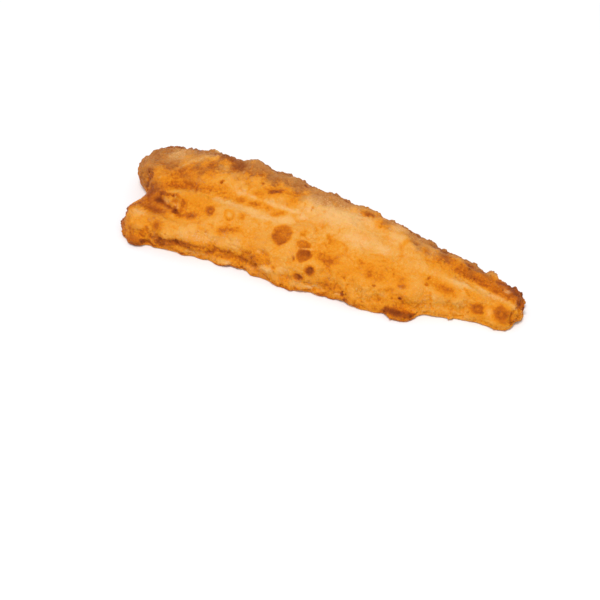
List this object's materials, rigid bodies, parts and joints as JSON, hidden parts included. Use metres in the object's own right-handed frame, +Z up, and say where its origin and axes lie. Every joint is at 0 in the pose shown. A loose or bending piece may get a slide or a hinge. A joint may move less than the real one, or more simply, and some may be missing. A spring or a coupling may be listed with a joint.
{
  "type": "fried fish fillet",
  "caption": "Long tapering fish fillet in crisp golden batter, with a split at the head end, a crease along its middle and a narrow tail.",
  "frame": {"origin": "on the surface the fillet lies on, under the middle of its bounding box", "axes": "+X along the fillet from the head end to the tail, +Y from the thin belly edge to the thick loin, +Z up"},
  "size_m": [0.247, 0.0816, 0.0315],
  "materials": {
    "batter": "fried batter: golden yellow with deep orange creases, brown rims and burst bubbles, thin sheen of oil over a fine grain"
  },
  "bodies": {
    "root": {"fillet": "batter"}
  },
  "joints": []
}
